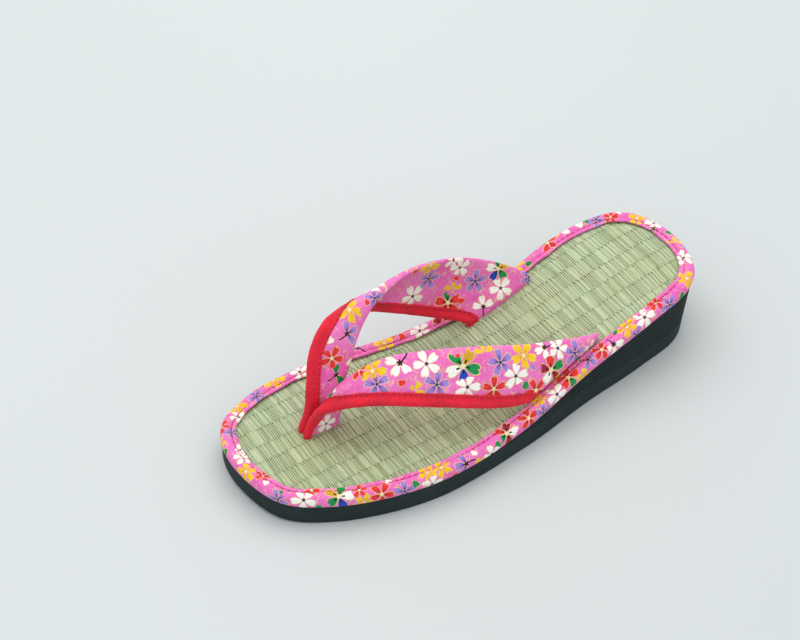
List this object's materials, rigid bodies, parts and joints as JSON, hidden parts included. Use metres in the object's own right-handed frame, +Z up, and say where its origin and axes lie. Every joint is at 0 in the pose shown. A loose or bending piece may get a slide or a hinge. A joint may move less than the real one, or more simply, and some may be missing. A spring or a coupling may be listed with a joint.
{
  "type": "zori sandal",
  "caption": "Left thong sandal with a foam wedge sole, woven rush footbed, fabric edge binding and a padded V-shaped strap with corded pipings.",
  "frame": {"origin": "centre of the footprint's box, on the floor", "axes": "+Y from toe to heel, +X to the outer (lateral) side of the left foot, +Z up"},
  "size_m": [0.092, 0.2424, 0.0617],
  "materials": {
    "sole_foam": "ribbed EVA foam sheet, matt dark slate green",
    "wedge_foam": "ribbed EVA foam wedge, matt dark slate green",
    "rush_mat": "woven rush, pale green, satin straws",
    "binding_cotton": "printed cotton tape, pink with cherry blossoms, red stitch line",
    "strap_cotton": "printed cotton over thin padding, pink with cherry blossoms and fine gold lines",
    "piping_cotton": "red cotton corded piping, stitched"
  },
  "bodies": {
    "root": {"outsole_sheet": "sole_foam", "heel_wedge": "wedge_foam", "insole": "rush_mat", "edge_binding": "binding_cotton", "strap": "strap_cotton", "piping_lateral": "piping_cotton", "piping_medial": "piping_cotton"}
  },
  "joints": []
}
